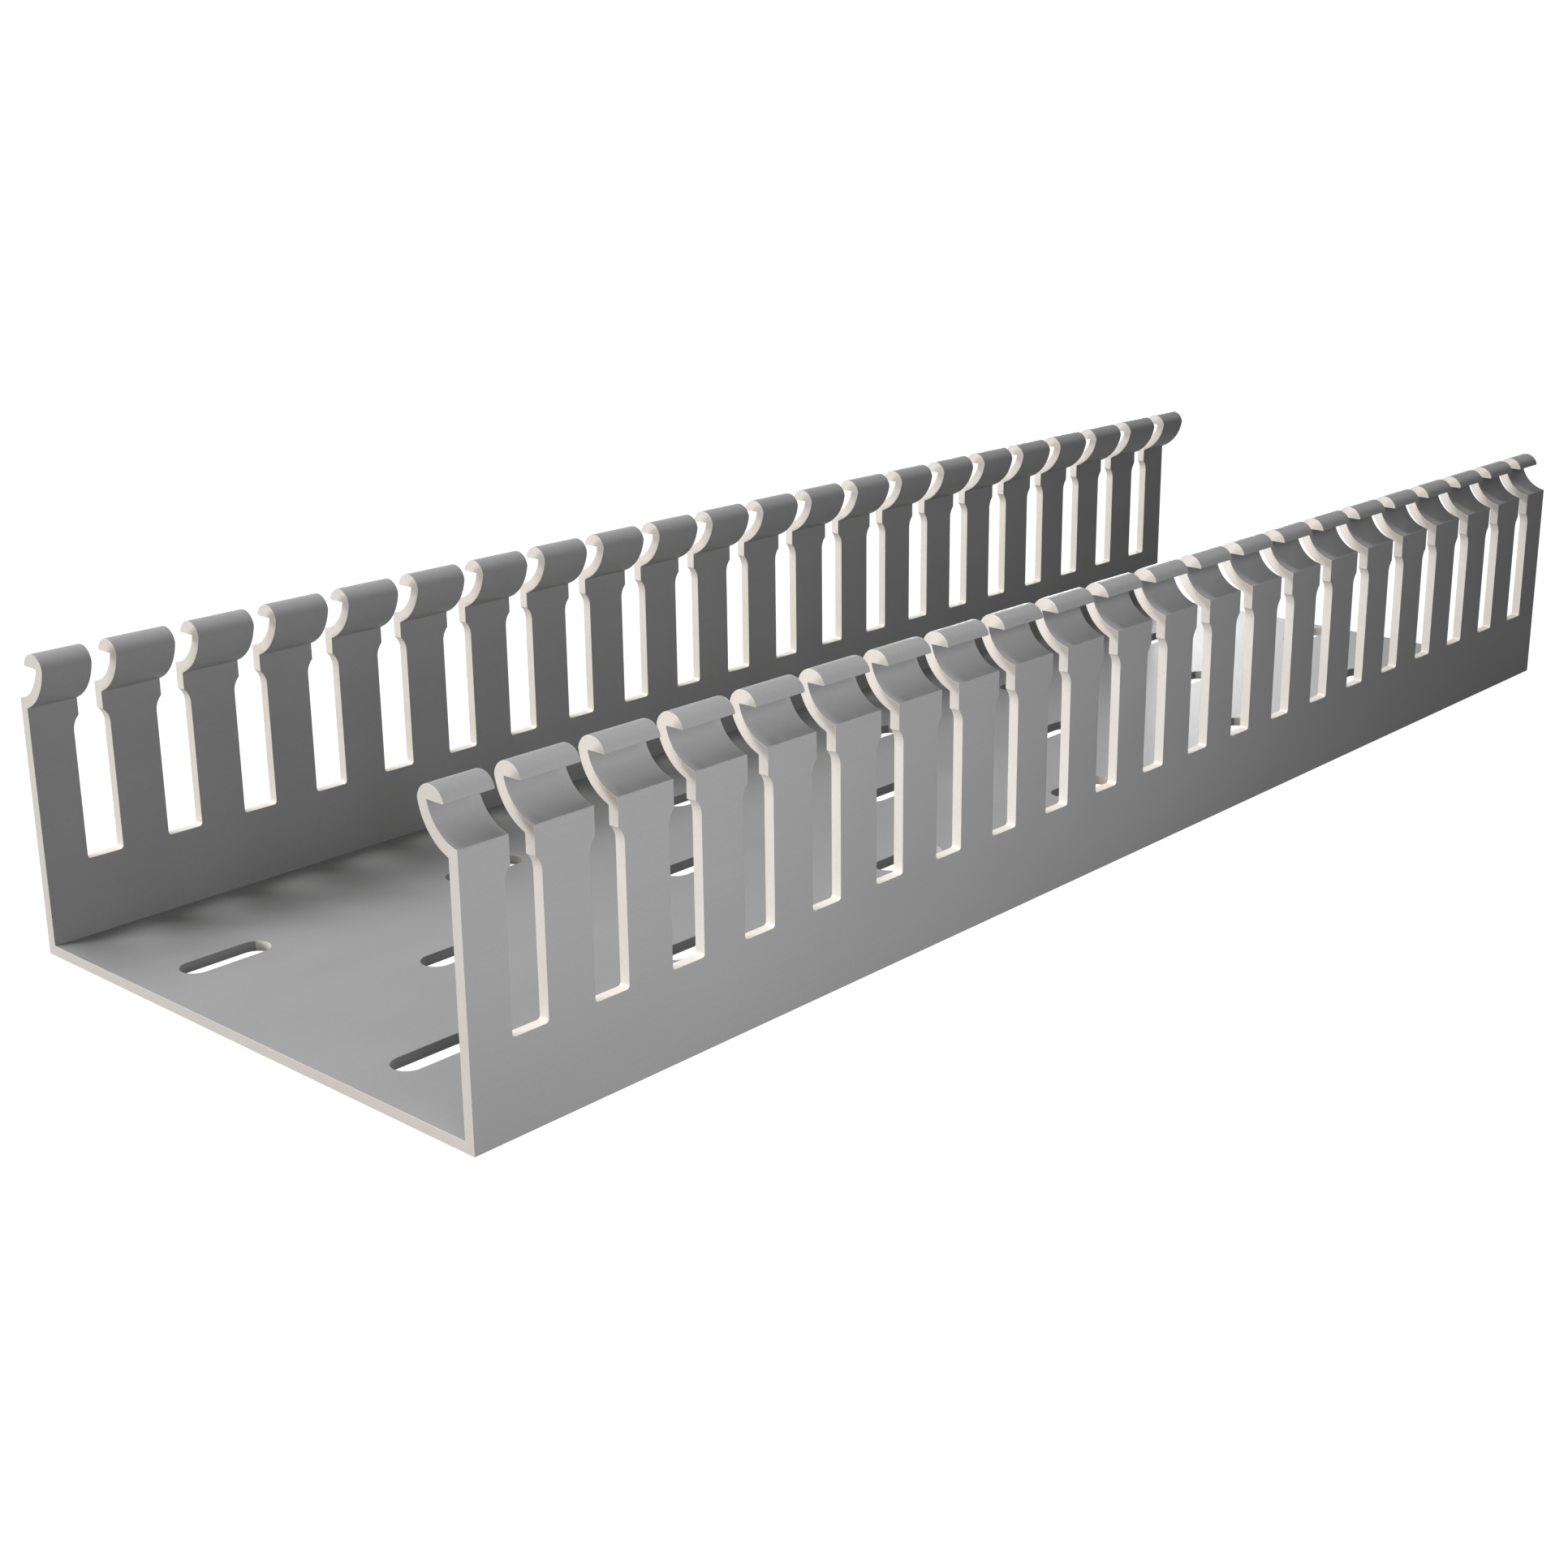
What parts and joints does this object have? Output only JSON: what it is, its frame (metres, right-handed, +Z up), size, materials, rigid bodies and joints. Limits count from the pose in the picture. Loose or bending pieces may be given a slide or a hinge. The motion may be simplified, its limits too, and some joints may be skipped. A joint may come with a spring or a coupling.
{
  "type": "slotted wire duct",
  "caption": "Open slotted wire duct: a flat base with fixing slots, and slotted side walls whose curled heads take a clip-on cover",
  "frame": {"origin": "middle of the underside, which lies on the mounting surface", "axes": "+X along the duct, +Y across it from wall to wall, +Z up from the base to the heads"},
  "size_m": [0.3, 0.1, 0.048],
  "materials": {
    "rigid_pvc": "extruded rigid PVC with a satin skin, paler where it is cut"
  },
  "bodies": {
    "root": {"duct_channel": "rigid_pvc"}
  },
  "joints": []
}
